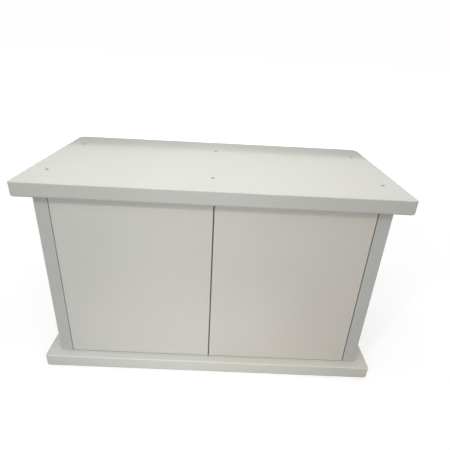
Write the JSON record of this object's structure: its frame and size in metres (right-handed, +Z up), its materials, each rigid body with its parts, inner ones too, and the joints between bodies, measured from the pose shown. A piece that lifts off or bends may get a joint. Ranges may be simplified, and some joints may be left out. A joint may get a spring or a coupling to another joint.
{
  "type": "aquarium stand cabinet",
  "caption": "White laminated stand cabinet for an aquarium: overhanging thick top and base boards, two handleless inset doors on hidden pivots with push-to-open latches",
  "frame": {"origin": "on the floor under the centre of the overall box, which is the centre of the top board", "axes": "+Z up; the doors face -Y; +X to the right for someone facing the doors"},
  "size_m": [1, 0.5, 0.604],
  "materials": {
    "board_laminate": "satin white laminate on chipboard, softly rounded edges",
    "panel_laminate": "satin white laminate on chipboard",
    "door_laminate": "satin white laminate, very slightly warmer than the boards",
    "hardboard_white": "thin hardboard with a white painted face",
    "pivot_steel": "zinc-plated pressed steel",
    "nylon_white": "unfilled nylon",
    "latch_plastic": "grey moulded plastic",
    "tip_rubber": "soft black rubber",
    "spring_steel": "bright spring wire",
    "grommet_plastic": "white moulded plastic with fine texture",
    "screw_zinc": "zinc-plated steel",
    "glide_plastic": "hard white plastic",
    "dowel_beech": "fluted beech dowel"
  },
  "bodies": {
    "carcass": {"top_board": "board_laminate", "base_board": "board_laminate", "left_side_panel": "panel_laminate", "right_side_panel": "panel_laminate", "centre_divider": "panel_laminate", "shelf": "panel_laminate", "back_panel": "hardboard_white", "left_upper_pivot_socket": "pivot_steel", "left_lower_pivot_socket": "pivot_steel", "left_latch_housing": "latch_plastic", "left_latch_spring": "spring_steel", "left_hose_grommet": "grommet_plastic", "right_upper_pivot_socket": "pivot_steel", "right_lower_pivot_socket": "pivot_steel", "right_latch_housing": "latch_plastic", "right_latch_spring": "spring_steel", "right_hose_grommet": "grommet_plastic", "shelf_pins": "screw_zinc", "floor_glides": "glide_plastic", "top_confirmat_screws": "screw_zinc", "base_confirmat_screws": "screw_zinc", "back_panel_screws": "screw_zinc", "pivot_socket_screws": "screw_zinc", "latch_screws": "screw_zinc", "top_dowels": "dowel_beech", "base_dowels": "dowel_beech"},
    "left_door_leaf": {"left_door": "door_laminate", "left_upper_pivot_leaf": "pivot_steel", "left_lower_pivot_leaf": "pivot_steel", "left_strike_plate": "pivot_steel", "left_pivot_washers": "nylon_white", "left_door_screws": "screw_zinc"},
    "right_door_leaf": {"right_door": "door_laminate", "right_upper_pivot_leaf": "pivot_steel", "right_lower_pivot_leaf": "pivot_steel", "right_strike_plate": "pivot_steel", "right_pivot_washers": "nylon_white", "right_door_screws": "screw_zinc"},
    "left_plunger": {"left_latch_plunger": "latch_plastic", "left_plunger_tip": "tip_rubber"},
    "right_plunger": {"right_latch_plunger": "latch_plastic", "right_plunger_tip": "tip_rubber"}
  },
  "joints": [
    {"name": "left_door_hinge", "type": "hinge", "parent": "carcass", "child": "left_door_leaf", "pos_m": [-0.392, -0.211, 0.303], "axis": [0, 0, -1], "range_deg": [0, 110]},
    {"name": "right_door_hinge", "type": "hinge", "parent": "carcass", "child": "right_door_leaf", "pos_m": [0.392, -0.211, 0.303], "axis": [0, 0, 1], "range_deg": [0, 110]},
    {"name": "left_latch_travel", "type": "slide", "parent": "carcass", "child": "left_plunger", "axis": [0, -1, 0], "range_m": [0, 0.02]},
    {"name": "right_latch_travel", "type": "slide", "parent": "carcass", "child": "right_plunger", "axis": [0, -1, 0], "range_m": [0, 0.02]}
  ],
  "couplings": [
    {"joint": "left_latch_travel", "follows": "left_door_hinge", "m_per_rad": 0.0104},
    {"joint": "right_latch_travel", "follows": "right_door_hinge", "m_per_rad": 0.0104}
  ]
}
